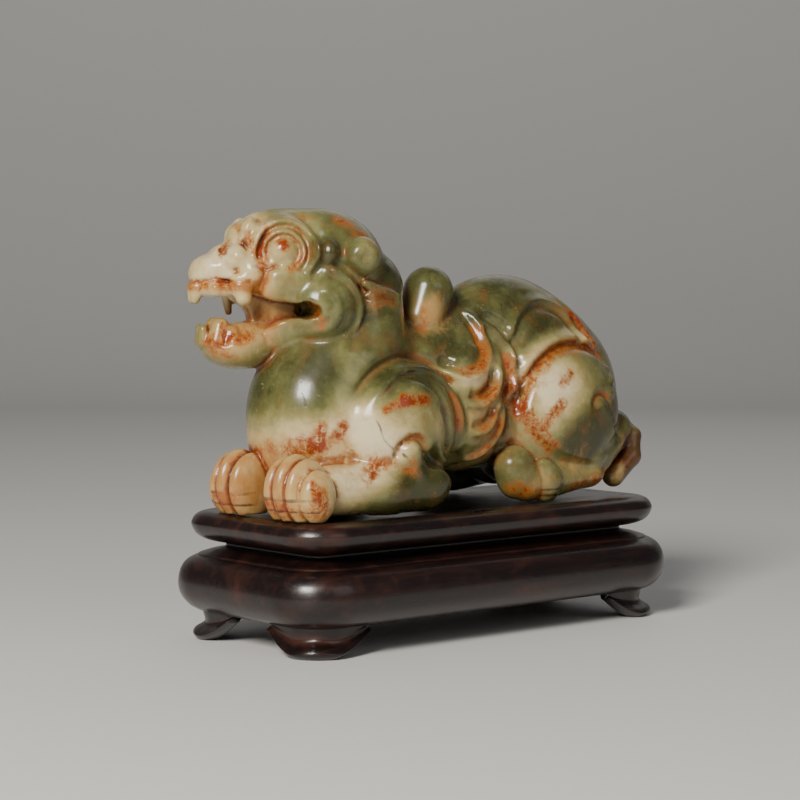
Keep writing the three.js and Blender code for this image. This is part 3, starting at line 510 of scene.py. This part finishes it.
# Jade beast: grid steps, colours, textures, and where each colour lies on the stone.
# A spot's row is its centre, reach and weight. A line's row is its ends, width and weight.
# A band's row is its centre along and up, radius, first and last degree, width and weight.
jade = {
    "grid": 0.58,
    "headGrid": 0.47,
    "headEnd": -16,
    "quickCoarser": 1.5,
    "gridBox": ((-61.5, 61), (-25, 25), (-1, 71)),
    "seatGap": 0.15,
    "hollowReaches": ((0.8, 0.55), (2.4, 0.55)),
    "white": (0.76, 0.64, 0.39),
    "cream": (0.56, 0.44, 0.20),
    "paleGreen": (0.31, 0.275, 0.105),
    "celadon": (0.135, 0.135, 0.045),
    "olive": (0.055, 0.056, 0.017),
    "honey": (0.58, 0.36, 0.13),
    "amber": (0.37, 0.12, 0.018),
    "russet": (0.25, 0.028, 0.003),
    "umber": (0.05, 0.014, 0.006),
    "roughness": 0.25,
    "coat": 0.25,
    "cloud": (70, 5, 0.6, 0.6),
    "mottle": (240, 5, 0.62, 0.3),
    "blotch": (560, 6, 0.7, 0.8),
    "grit": (1100, 4, 0.6),
    "vein": (46, 4, 0.6, 1.2),
    "speck": (2600, 2, 0.5),
    "nick": (900, 3, 0.6, 1.4),
    "streakScale": (900, 900, 60),
    "paleSpots": (
        ((-35.5, 13, 22), 6, 0.45), ((-33, 16, 17), 7, 0.5), ((-28, 19, 14), 6.5, 0.4),
        ((-24, 19, 22), 6.5, 0.35), ((-17, 19, 20), 4, 0.25), ((-3.3, 15, 31), 3.5, 0.4),
        ((2.7, 16, 28.8), 3.5, 0.5), ((7, 15.5, 32), 3, 0.25), ((21.5, 18.6, 27), 6.5, 0.5),
        ((28, 19, 30), 6.5, 0.45), ((24, 20, 22), 6, 0.35), ((20, 18, 18), 4, 0.25),
        ((-40, 16, 8), 6, 0.3), ((-34, 17, 7), 4.5, 0.35), ((30, 17, 6.5), 6, 0.25),
        ((37, 15, 8), 5, 0.2), ((-45, 4, 18), 6, 0.25), ((-42, 9, 16), 6, 0.3),
    ),
    "greenSpots": (
        ((-21, 20, 5), 6.5, 0.55), ((-14, 17, 7), 6, 0.4), ((-31, 18, 3), 4.5, 0.35),
        ((-25, 19, 9), 4, 0.3), ((31, 19.5, 13), 7, 0.45), ((38, 17, 18), 6, 0.25),
        ((-29, 15, 31), 5, 0.35), ((-18, 16, 32), 6, 0.35), ((26, 12.6, 42.9), 7, 0.2),
        ((-44, 6, 30), 8, 0.3), ((-4, 14, 36.6), 5, 0.35),
    ),
    "headGreenSpots": (
        ((14.8, 10, 58.9), 5.6, -0.42), ((12, 5, 65), 6, -0.22), ((19.4, 8, 61.4), 2.8, 0.3),
        ((25, 3, 57), 5, -0.1), ((14, 10, 52.5), 4, -0.14), ((5.7, 12, 58.6), 4.5, 0.25),
        ((4, 13, 42), 8, 0.15), ((8.6, 8, 45), 4, -0.25),
    ),
    "paleBands": (
        (33, 18.5, 20.9, 50, 168, 1.7, 0.42), (-2.7, 39.2, 10.2, -140, -10, 1.6, 0.35),
        (1.2, 31.4, 12.8, -48, 30, 1.4, 0.25),
    ),
    "warmSpots": (
        ((19, 18, 4), 4.5, 0.5), ((30, 17, 7), 6, 0.45), ((2, 16, 20.5), 6, 0.5),
        ((3.2, 16.5, 26.6), 4, 0.6), ((16, 17, 17), 5, 0.45), ((-38, 18, 10), 6, 0.35),
        ((6, 8, 12), 9, 0.4), ((18, 16, 29), 6, 0.35),
    ),
    "warmBall": ((-6.5, -7, 44.6), 4.6, 0.8),
    "warmTail": ((54, 14, 8), 7, 0.9),
    "headWarmSpots": (
        ((26, 4, 40), 5, 1.1), ((17, 2, 44), 7, 1.0), ((20, 9, 50), 4.5, 0.6),
        ((24, 3, 35), 6, 0.1), ((14.7, 11, 58.9), 4, 0.3), ((-3, 12, 57.4), 2.4, 0.4),
        ((8, 8, 45.6), 4, 0.5), ((21, 5, 64), 4, 0.3), ((26, 5, 57), 6, 0.25), ((-8, 8, 48), 5, 0.5),
    ),
    # Painted shade in umber: spots under the chin, in flank creases and between hind leg and belly, one on
    # the ball's lower side, and bands in the flank cups
    "shadeSpots": (
        ((-14, 19, 21), 4, 0.45), ((8, 12, 14), 8, 0.35), ((14, 15, 26), 4, 0.4),
        ((-22, 10, 38), 6, 0.35),
    ),
    "shadeBall": ((-3, -5, 44), 4, 0.3),
    "shadeBands": (
        (-0.2, 32, 5.4, -120, 20, 2.6, 0.55), (0.2, 23.9, 4.4, -120, 20, 2.6, 0.5),
    ),
    # On the head: the tuft's own dark colour, and painted shade at the mouth corner, inside the mouth and
    # behind the jaw
    "headTuftAndShadeSpots": (
        ((-9, 8, 47.5), 5, 0.85), ((11, 6, 45.4), 4.5, 0.55), ((20, 2, 45), 6, 0.5),
        ((-2, 13.4, 50), 4, 0.4),
    ),
    "rustLines": (
        ((-31, 18, 23.8), (-26, 19, 26.0), 1.2, 1.2), ((-26, 19, 25.8), (-20.2, 19.6, 25.8), 1.5, 1.6),
        ((-49, 1, 14.6), (-45.4, 6, 16.2), 2.8, 0.75), ((-42.8, 8.6, 15.4), (-42.4, 9, 20.4), 1.2, 1.2),
        ((-38.9, 11, 18.6), (-38.3, 11.4, 20.2), 1.3, 1.4), ((-44.6, 7, 15), (-40.4, 10.4, 17), 2.2, 0.6),
        ((-36.2, 16.6, 8.4), (-32.4, 17.4, 11.6), 1.8, 0.85), ((-40, 16, 13.2), (-34, 17, 12.4), 1.8, 0.7),
        ((-52.4, 19, 8.4), (-51.6, 19.4, 4.2), 1.3, 1.1), ((-50.2, 19.4, 7.0), (-49.6, 19.4, 3.4), 1.3, 0.9),
        ((-56.5, 16, 3.4), (-56, 16, 1), 2.2, 0.9), ((-57, 10, 3), (-56.5, 12, 1), 2.2, 0.9),
        ((-54, 20, 2), (-48, 20, 1), 1.8, 0.9), ((-57, 5, 3), (-57, 7, 1), 2.2, 1.0),
        ((25.0, 19.7, 27.8), (27.8, 19.7, 30.2), 1.4, 1.0), ((20.8, 19.8, 19.4), (24.2, 19.8, 23), 1.7, 1.1),
        ((17, 17.4, 17), (21.5, 18.4, 12.4), 1.8, 0.6), ((27, 18, 9.6), (38, 16.4, 11.6), 1.8, 0.6),
        ((32.9, 9.2, 47.2), (38, 10, 43.5), 1.4, 0.9), ((38, 10, 43.5), (44, 10.7, 36.8), 1.7, 1.2),
        ((-25, 15.5, 13), (-24.6, 19, 12.2), 1.6, 0.9), ((42, 17, 5), (30, 19, 2.6), 2.4, 0.9),
        ((12, 18, 3), (18, 19, 1.4), 2.6, 0.9), ((-7.6, 3, 46.5), (-8.2, 4, 41), 2.4, 0.8),
        ((-24.5, 19, 9.5), (-30.5, 19, 12), 1.6, 0.8), ((51, 12, 11), (53, 14, 7), 3, 0.8),
    ),
    "rustBands": (
        (33, 18.5, 18.3, 40, 185, 2.2, 1.0), (-24.6, 13.4, 4.2, -10, 200, 1.4, 0.8),
        (-19.8, 17.4, 14.2, -10, 52, 2.0, 1.0), (-2.7, 39.2, 8.0, -120, 35, 1.6, 1.0),
        (-0.2, 32, 6.6, -110, 7, 2.6, 1.2), (1.2, 31.4, 11.2, -45, 30, 1.5, 1.0),
        (0.2, 23.9, 5.6, -110, 9, 2.0, 0.9), (-2.1, 21.4, 10.3, -90, 10, 1.4, 0.8),
        (-2.1, 21.4, 12.8, -70, 30, 1.3, 0.8), (36.4, 32.3, 23.4, -175, -118, 1.4, 0.8),
        (37.5, 21.8, 3.6, 0, 190, 1.2, 0.7), (26.4, 34.8, 11.4, 20, 150, 1.2, 0.35),
    ),
    "headRustLines": (
        ((15.0, 11, 60.5), (14.8, 11, 60.1), 1.3, 1.7), ((19.6, 8.6, 58), (19.4, 9, 53), 1.8, 0.8),
        ((34, 2, 51), (25.4, 8.5, 51), 1.1, 0.95), ((33.4, 2, 52.4), (22.6, 8, 52.6), 0.8, 0.9),
        ((20.6, 9, 50), (18.4, 8, 46.4), 1.8, 0.7), ((9.2, 9, 46.4), (7, 10, 43.0), 2.2, 1.2),
        ((31, 4, 38.6), (22, 7, 39.2), 1.5, 0.9), ((24, 7, 40.6), (17, 7, 42.6), 1.4, 0.6),
        ((26.4, 4.2, 61), (27.8, 4.2, 58.0), 1.1, 1.2), ((24.2, 4, 64.6), (21, 7, 60.2), 1.1, 0.8),
        ((-6.4, 9, 49.4), (-10.8, 7.6, 48.2), 1.3, 0.9), ((-6.4, 9, 46.2), (-11, 7.6, 46.6), 1.3, 0.9),
        ((1.4, 7, 66.4), (-5.6, 8.8, 61.8), 1.9, 0.8), ((18.2, 8.8, 63.4), (20.4, 7.6, 58.6), 1.1, 0.8),
        ((30, 5, 36), (25, 6, 35.2), 1.1, 0.7), ((12.8, 11.4, 55.2), (10.2, 11.6, 58), 1.6, 0.6),
        ((27.6, 3.4, 42), (28, 3.4, 39), 2.2, 0.9), ((20, 5, 44.4), (15, 4, 43.4), 2.4, 0.7),
        ((7.4, 6, 66.4), (12.8, 6, 66), 1.2, 0.5), ((16.2, 7.4, 54.4), (12, 10.6, 54.8), 0.9, 0.6),
    ),
    "headRustBands": (
        (14.7, 58.9, 3.9, -130, 240, 0.9, 0.3), (14.3, 59.3, 5.4, -60, 200, 0.9, 0.25),
        (14.3, 59.3, 7.8, -20, 120, 1.2, 0.4), (6.6, 45.9, 11.4, 215, 290, 1.4, 0.6),
    ),
    "cracks": (
        (
            (-44.6, -7.2, 32.2), (-45.0, -8.4, 30.6), (-44.6, -7.4, 28.6), (-45.2, -9.0, 27.0),
            (-45.0, -9.8, 24.6),
        ),
        (
            (-33.4, -20, 22.2), (-32.6, -20.8, 19.8), (-32.0, -21.4, 17.2), (-30.0, -22, 15.0),
            (-28.0, -22.3, 13.4),
        ),
        ((-29.8, -22, 15.2), (-25.6, -22.4, 12.8)),
        ((12.6, -9, 48.8), (14.0, -10, 46.6), (13.6, -10.6, 45.4)),
        ((26.2, -19.7, 31.6), (27.8, -19.6, 28.4), (27.4, -19.8, 27.6)),
    ),
    "clawLines": (5.9, 3.4),
    "clawTilt": 0.02,
    "hindClawLines": (2.9, 1.4),
    "noCrack": 3.0,
}


def soft(p, centre, reach):
    return np.exp(-sum((p[i] - centre[i]) ** 2 for i in range(3)) / reach**2)


def along(p, start, end, width):
    return swell(limb(p, start, end, 0, 0), width)


def spots(p, rows):
    return sum(weight * soft(p, centre, reach) for centre, reach, weight in rows)


def bands(u, v, rows):
    return sum(weight * fold(u, v, *row[:-1], 1, 0, 0, row[-1]) for *row, weight in rows)


def lines(p, squash, rows):
    flat = (p[0], squash * p[1], p[2])
    stain = 0
    for start, end, width, weight in rows:
        ends = [(x, squash * y, z) for x, y, z in (start, end)]
        stain = stain + weight * along(flat, *ends, width)
    return stain


def headWeight(x, y, z):
    return ease(trunkField(x, y, z, False) - headField(x, y, z, False), -0.4, 0.8)


# Each map takes a point as it is, mirrored to one flank and in the head's own frame,
# and how far it belongs to the head
def greenMap(p, q, h, head):
    x, _, z = p
    f = h[0]
    trunk = 0.76 + 0.1 * ease(z, 30, 46) - 0.3 * ease(-x, 34, 43) * ease(-z, -25, -17)
    trunk = trunk - 0.14 * ease(-x, 42, 47) * ease(-z, -16, -12)
    trunk = trunk - spots(q, jade["paleSpots"]) + spots(q, jade["greenSpots"])
    trunk = trunk - ease(q[1], 6, 10) * bands(x, z, jade["paleBands"])
    face = 0.74 - 0.55 * ease(f, 15, 20.5) * ease(z, 44, 50) - 0.1 * ease(f, 15, 24) * ease(-z, -44, -40)
    face = face + spots(h, jade["headGreenSpots"])
    return trunk + head * (face - trunk)


def warmMap(p, q, h, head):
    x, y, z = p
    trunk = 0.55 * ease(-x, 43.5, 47) * ease(-z, -15, -12.5)
    trunk = trunk + 0.55 * ease(-x, 34, 38) * ease(-z, -21, -16) * ease(-q[1], -17, -12)
    trunk = trunk + spots(q, jade["warmSpots"]) + spots(p, [jade["warmBall"]])
    trunk = trunk + spots(q, [jade["warmTail"]]) * ease(-y, 9, 11)
    face = 1.1 * ease(h[0], 18, 21) * ease(-z, -53, -51.8) * ease(z, 48.8, 50.6)
    face = face + spots(h, jade["headWarmSpots"])
    return trunk + head * (face - trunk)


# Umber: the tail's and tuft's own dark colour, and painted shade under the chin, in flank creases and cups,
# on the ball and in and around the mouth
def umberAndShadeMap(p, q, h, head):
    x, y, z = p
    trunk = ease(x, 49, 52) * ease(-z, -17, -13) * ease(-y, 8, 11)
    # painted shade on the throat under the chin
    trunk = trunk + 0.35 * ease(z, 33, 38) * ease(-x, 26, 30) * ease(x, -46, -40)
    trunk = trunk + ease(q[1], 6, 10) * bands(x, z, jade["shadeBands"])
    trunk = trunk + spots(q, jade["shadeSpots"]) + spots(p, [jade["shadeBall"]])
    return trunk + head * (spots(h, jade["headTuftAndShadeSpots"]) - trunk)


def rustMap(q, h, head):
    x, side, z = q
    trunk = lines(q, 0.5, jade["rustLines"]) + ease(side, 6, 10) * bands(x, z, jade["rustBands"])
    face = lines(h, 0.4, jade["headRustLines"])
    face = face + ease(h[1], 5, 8) * bands(h[0], h[2], jade["headRustBands"])
    return trunk + head * (face - trunk)


def nearestLine(z, heights):
    return np.minimum.reduce([np.abs(z - height) for height in heights])


def crackGap(points):
    none = jade["noCrack"]
    gap = np.full(len(points), none)
    p = points.T
    for way in jade["cracks"]:
        for start, end in zip(way[:-1], way[1:]):
            gap = np.minimum(gap, limb(p, start, end, 0, 0))
    x, y, z = p
    claws = nearestLine(z - jade["clawTilt"] * x, jade["clawLines"])
    claws = np.where((x < -50.5) & (z < 9), claws, none)
    hindClaws = nearestLine(z, jade["hindClawLines"])
    hindClaws = np.where((np.abs(x - 20.5) < 3) & (z < 4) & (y < -18), hindClaws, none)
    return np.minimum(gap, np.minimum(claws, hindClaws))


def jadeMaterial():
    m = MaterialSheet("jade stone")
    place = m.place()
    hollow = m.map("hollow")
    cloud = m.noise(place, *jade["cloud"])
    mottle = m.noise(place, *jade["mottle"])
    grit = m.noise(place, *jade["grit"])
    streaks = m.noise(m.stretch(place, jade["streakScale"]), 1, 4, 0.6)
    crest = 1.0 - hollow
    blotch = m.noise(place, *jade["blotch"])
    green = m.map("green") + (cloud - 0.5) * 0.8 + (mottle - 0.5) * 0.5 + (blotch - 0.5) * 0.2
    stops = [
        (0.0, jade["white"]),
        (0.26, jade["cream"]),
        (0.5, jade["paleGreen"]),
        (0.78, jade["celadon"]),
        (1.0, jade["olive"]),
    ]
    body = m.node("ShaderNodeValToRGB", {"stops": stops}, {"Fac": green}, "Color")
    warm = m.map("warm") + (cloud - 0.5) * 0.5 + (mottle - 0.5) * 0.7 + (streaks - 0.5) * 0.5
    body = m.mix(warm.between(0.1, 0.8) * 0.85, body, jade["honey"])
    body = m.mix(warm.between(0.7, 1.5) * 0.8, body, jade["amber"])
    groove = hollow + (mottle - 0.5) * 0.8 + (blotch - 0.5) * 0.9
    pale = (1.3 - green).clamp()
    body = m.mix(groove.between(0.2, 0.65) * pale * 0.85, body, jade["amber"])
    # Painted shade: grooves darken towards olive
    body = m.mix(groove.between(0.3, 0.8) * 0.4, body, jade["olive"])
    halo = m.map("rust").between(0.1, 1.1) * ((mottle - 0.5) * 3 + 0.45).clamp()
    body = m.mix(halo * 0.8, body, jade["amber"])
    ragged = (blotch - 0.5) * 4.5 + (grit - 0.5) * 1.4 + (streaks - 0.5) * 1.5
    rust = m.map("rust") * (ragged + 0.95)
    body = m.mix(rust.between(0.25, 1.0) * 0.8, body, jade["amber"])
    body = m.mix(rust.between(0.75, 1.5) * 0.9, body, jade["russet"])
    body = m.mix(groove.between(0.5, 1.0) * pale * 0.7, body, jade["russet"])
    body = m.mix(groove.between(0.25, 0.7) * warm.clamp() * 0.6, body, jade["russet"])
    # Painted shade: the deepest hollows darken to umber
    deepShade = hollow + (blotch - 0.5) * 0.4
    body = m.mix(deepShade.between(0.6, 1.1) * 0.85, body, jade["umber"])
    # Umber from the dark map: the tail's and tuft's own colour, and painted shade
    body = m.mix((m.map("dark") + (mottle - 0.5) * 0.3).between(0.1, 1.0) * 0.85, body, jade["umber"])
    vein = 1.0 - ((m.noise(place, *jade["vein"]) - 0.5) * 14).magnitude().clamp()
    body = m.mix(vein * (mottle - 0.42).clamp() * 1.1, body, jade["amber"])
    crack = 1.0 - (m.map("crackGap") + (mottle - 0.5) * 0.9).magnitude().between(0.08, 0.42)
    body = m.mix(crack * 0.8, body, jade["umber"])
    speck = (m.noise(place, *jade["speck"]) - 0.2 * crest).between(0.54, 0.62)
    body = m.mix(speck * 0.18, body, jade["umber"])
    nick = m.noise(place, *jade["nick"]).between(0.66, 0.72) * (cloud - 0.3).clamp()
    body = m.mix(nick * 1.6, body, jade["cream"])
    height = (grit - 0.5) * 0.25 - crack * 0.9 + (mottle - 0.5) * 0.5
    return m.finish(
        {
            "Base Color": body,
            "Roughness": (mottle - 0.5) * 0.2 + groove.between(0.2, 0.8) * 0.2 + jade["roughness"],
            "Specular IOR Level": 0.4,
            "Coat Weight": jade["coat"],
            "Coat Roughness": 0.1,
            "Subsurface Weight": 0.1,
            "Subsurface Radius": (0.0045, 0.003, 0.0014),
            "Subsurface Scale": 1.0,
            "Normal": m.bump(height, 0.12, 0.0004),
        }
    )


def gradedAxis(low, high, fine, coarse, fineUntil):
    places = [low]
    while places[-1] < high:
        places.append(places[-1] + (fine if places[-1] < fineUntil else coarse))
    return np.array(places)


def makeBeast():
    grid, headGrid = jade["grid"], jade["headGrid"]
    (front, back), *others = jade["gridBox"]
    axes = [gradedAxis(front, back, headGrid, grid, jade["headEnd"])]
    axes += [gradedAxis(low, high, grid, grid, low) for low, high in others]
    points, quads = netSurface(beastField, axes)
    points = settle(beastField, points, 2)
    points[:, 2] = np.where(points[:, 2] < jade["seatGap"], 0, points[:, 2])
    normals = slopeOf(beastField, points)
    normals /= np.linalg.norm(normals, axis=1)[:, None]
    world = points * mm
    world[:, 2] += beastLow.z
    piece = meshPiece("jade_carving", world, quads)
    hollow = np.zeros(len(points))
    for reach, weight in jade["hollowReaches"]:
        hollow += weight * np.clip(1 - beastField(*(points + normals * reach).T) / reach, 0, 1)
    x, y, z = points.T
    f, side = headFrame(x, y)
    p, q, h = (x, y, z), (x, np.abs(y - lean(x)), z), (f, np.abs(side), z)
    head = headWeight(x, y, z)
    paintMap(piece, "hollow", hollow)
    paintMap(piece, "green", greenMap(p, q, h, head))
    paintMap(piece, "warm", warmMap(p, q, h, head))
    paintMap(piece, "rust", rustMap(q, h, head))
    paintMap(piece, "dark", umberAndShadeMap(p, q, h, head))
    paintMap(piece, "crackGap", crackGap(points))
    piece.data.materials.append(jadeMaterial())
    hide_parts("jade_beast")
    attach(piece, "root")
    return piece


beastPiece = makeBeast()
print("beast carved:", len(beastPiece.data.polygons), "faces")

# Hardwood stand: a moulded body and plate, and four corner feet with out-turned toes.
# A section's row is how far it lies inside the outline, and its height.
wood = {
    "cornerRadius": 14.1,
    "smallestRadius": 2.5,
    "cornerSteps": 16,
    "bodyBottom": 6.4,
    "footLength": 15.6,
    "footLift": 5.2,
    "footOverlap": 0.8,
    "soleShare": 0.3,
    "toeHeight": 1.9,
    "toeEdge": 0.7,
    "toeInset": 3.3,
    "footInset": 3.8,
    "stemInset": 5.9,
    "stemDepth": 2.6,
    "base": (0.009, 0.0045, 0.004),
    "streak": (0.032, 0.0095, 0.006),
    # tone of rubbed edges and of their painted highlight
    "wearAndSheenTone": (0.085, 0.024, 0.013),
    "pore": (0.003, 0.0016, 0.0013),
    "section": (
        (12, 6.4), (6.4, 6.5), (3.4, 7.5), (1.7, 8.9), (0.5, 10.6), (0, 12.6), (0.1, 14.6),
        (0.7, 16.6), (1.9, 18.2), (3.6, 19.2), (4.4, 19.4), (5.0, 19.9), (8, 20.8), (10.6, 21.3),
        (11, 21.8), (10.6, 22.2), (8.3, 22.6), (5.7, 23.4), (4, 24.6), (3.1, 26.4), (3.3, 27.6),
        (4.2, 28.8), (6, 29.5), (8, 29.55), (10, 29.3), (14, 29.3),
    ),
}


def smoothLine(corners, steps):
    pts = np.array(corners, float)
    pad = np.vstack([2 * pts[0] - pts[1], pts, 2 * pts[-1] - pts[-2]])
    line = []
    for a, b, c, d in zip(pad[:-3], pad[1:-2], pad[2:-1], pad[3:]):
        for t in np.arange(steps) / steps:
            cubic = (3 * b - a - 3 * c + d) * t**3
            line.append(0.5 * (2 * b + (c - a) * t + (2 * a - 5 * b + 4 * c - d) * t**2 + cubic))
    line.append(pts[-1])
    return np.array(line)


def standRing(inset, height):
    halfLong = standHigh.x / mm - inset
    halfWide = standHigh.y / mm - inset
    radius = max(wood["cornerRadius"] - inset, wood["smallestRadius"])
    steps = wood["cornerSteps"]
    ring = []
    for corner in range(4):
        cx = (1 if corner in (0, 3) else -1) * (halfLong - radius)
        cy = (1 if corner < 2 else -1) * (halfWide - radius)
        for step in range(steps + 1):
            angle = (corner + step / steps) * math.pi / 2
            ring.append((cx + radius * math.cos(angle), cy + radius * math.sin(angle), height))
    return ring


def ringFaces(rings, count, start):
    faces = []
    for r in range(rings - 1):
        for i in range(count):
            a, b = start + r * count + i, start + r * count + (i + 1) % count
            faces.append((a, b, b + count, a + count))
    last = start + (rings - 1) * count
    faces.append(tuple(range(start + count - 1, start - 1, -1)))
    faces.append(tuple(range(last, last + count)))
    return faces


def footLoop(reach):
    radius = wood["cornerRadius"]
    arc = (radius - wood["footInset"]) * math.pi / 4
    part = min(abs(reach) / wood["footLength"], 0.99)
    sole = wood["soleShare"]
    lift = wood["footLift"] * max((part - sole) / (1 - sole), 0) ** 1.6
    top = wood["bodyBottom"] + wood["footOverlap"]
    toeTop = min(lift + wood["toeHeight"] * (1 - part) + wood["toeEdge"], top - 0.4)
    stem = wood["stemInset"]
    flare = wood["toeInset"] + (stem - 0.7 - wood["toeInset"]) * part**1.5
    inner = stem + wood["stemDepth"]
    corners = [
        (flare + 1.2, lift), (flare, (lift + toeTop) / 2), (flare + 0.6, toeTop),
        (stem + 0.2, toeTop + 0.35 * (top - toeTop)), (stem - 0.3, top), (inner, top), (inner, lift),
        (flare + 1.2, lift),
    ]
    line = smoothLine(corners, 4)[:-1]
    turn = min(max(reach / arc, -1), 1) * math.pi / 4 + math.pi / 4
    beyond = max(abs(reach) - arc, 0)
    shift = (0, -beyond) if reach < 0 else (-beyond, 0)
    cx, cy = standHigh.x / mm - radius + shift[0], standHigh.y / mm - radius + shift[1]
    return [
        (cx + (radius - inset) * math.cos(turn), cy + (radius - inset) * math.sin(turn), max(z, 0))
        for inset, z in line
    ]


def makeStand():
    rings = [standRing(inset, height) for inset, height in smoothLine(wood["section"], 4)]
    points = [p for ring in rings for p in ring]
    faces = ringFaces(len(rings), len(rings[0]), 0)
    loops = [footLoop(reach) for reach in np.linspace(-wood["footLength"], wood["footLength"], 57)]
    for mx in (1, -1):
        for my in (1, -1):
            start = len(points)
            points += [(mx * x, my * y, z) for loop in loops for x, y, z in loop]
            made = ringFaces(len(loops), len(loops[0]), start)
            faces += made if mx * my > 0 else [face[::-1] for face in made]
    piece = meshPiece("stand_carving", np.array(points) * mm, faces)
    piece.data.materials.append(woodMaterial())
    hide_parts("wood_stand")
    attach(piece, "root")
    return piece


def woodMaterial():
    m = MaterialSheet("dark hardwood")
    place = m.place()
    grain = m.noise(m.stretch(place, (45, 420, 420)), 1, 6, 0.6, 0.3)
    pore = m.noise(m.stretch(place, (160, 2200, 2200)), 1, 3, 0.55)
    wear = m.noise(place, 90, 5, 0.65, 0.5)
    edge = m.node("ShaderNodeNewGeometry", {}, {}, "Pointiness")
    body = m.mix(grain.between(0.45, 0.75), wood["base"], wood["streak"])
    # Lighter convex edges: rubbed wear, and a painted highlight where the edges catch the light
    edgeWearAndSheen = (wear + (edge - 0.5) * 6).between(0.56, 0.78)
    body = m.mix(edgeWearAndSheen * 0.4, body, wood["wearAndSheenTone"])
    body = m.mix(pore.between(0.6, 0.72) * 0.7, body, wood["pore"])
    return m.finish(
        {
            "Base Color": body,
            "Roughness": (wear - 0.5) * 0.25 + grain.between(0.2, 0.9) * 0.12 + 0.27,
            "Coat Weight": 0.3,
            "Coat Roughness": 0.18,
            "Normal": m.bump(grain * 0.4 - pore.between(0.6, 0.72), 0.16, 0.0003),
        }
    )


standPiece = makeStand()
print("stand made:", len(standPiece.data.polygons), "faces")

# Floor, light and camera. A light's row is its name, place, target, size, power and colour.
studio = {
    "floorTone": (0.78, 0.77, 0.75),
    "worldTone": (0.80, 0.81, 0.83),
    "worldPower": 0.1,
    "cameraPlace": (-0.352235, -0.402157, 0.082943),
    "cameraTurn": 40.468,
    "cameraPitch": 3.110,
    "lens": 101.4,
    "sensor": 36,
    "lights": (
        ("key", (-0.72, -0.36, 0.5), (0, 0, 0.06), (0.28, 0.28), 10.5, (1, 0.96, 0.9)),
        ("fill", (0.1, -0.95, 0.5), (0, 0, 0.06), (0.7, 0.5), 1.0, (1, 1, 1)),
        ("rim", (0.6, 0.3, 0.6), (0, 0, 0.07), (0.7, 0.5), 0.5, (1, 1, 1)),
    ),
}


def makeFloor():
    reach, rise, run, bend = 1.6, 1.2, 0.9, 0.35
    profile = [(-reach, 0.0), (run, 0.0)]
    for angle in np.linspace(0.1, math.pi / 2, 12):
        profile.append((run + bend * math.sin(angle), bend - bend * math.cos(angle)))
    profile.append((run + bend, rise))
    turn = math.radians(studio["cameraTurn"])
    ahead = (math.sin(turn), math.cos(turn))
    side = (ahead[1], -ahead[0])
    points = []
    for distance, height in profile:
        for across in (-reach, reach):
            x = ahead[0] * distance + side[0] * across
            y = ahead[1] * distance + side[1] * across
            points.append((x, y, height))
    faces = [(2 * i, 2 * i + 1, 2 * i + 3, 2 * i + 2) for i in range(len(profile) - 1)]
    floor = meshPiece("floor", points, faces)
    m = MaterialSheet("pale floor")
    cloud = m.noise(m.place(), 9, 3)
    skin = m.finish({"Base Color": studio["floorTone"], "Roughness": cloud * 0.1 + 0.6})
    floor.data.materials.append(skin)


def softLight(name, place, target, size, power, colour):
    data = bpy.data.lights.new(name, "AREA")
    data.shape = "RECTANGLE"
    data.size, data.size_y = size
    data.energy = power
    data.color = colour
    light = bpy.data.objects.new(name, data)
    light.location = place
    light.rotation_euler = (Vector(target) - Vector(place)).to_track_quat("-Z", "Y").to_euler()
    bpy.context.scene.collection.objects.link(light)


def makeWorld():
    world = bpy.data.worlds.new("studio")
    bpy.context.scene.world = world
    world.use_nodes = True
    sky = world.node_tree.nodes["Background"]
    sky.inputs["Color"].default_value = (*studio["worldTone"], 1)
    sky.inputs["Strength"].default_value = studio["worldPower"]


def makeCamera():
    data = bpy.data.cameras.new("photo camera")
    data.lens = studio["lens"]
    data.sensor_width = studio["sensor"]
    data.clip_start = 0.01
    camera = bpy.data.objects.new("photo camera", data)
    camera.location = studio["cameraPlace"]
    pitch, turn = math.radians(90 - studio["cameraPitch"]), math.radians(-studio["cameraTurn"])
    camera.rotation_euler = (pitch, 0, turn)
    bpy.context.scene.collection.objects.link(camera)
    bpy.context.scene.camera = camera


makeFloor()
for light in studio["lights"]:
    softLight(*light)
makeWorld()
makeCamera()
print("studio ready")
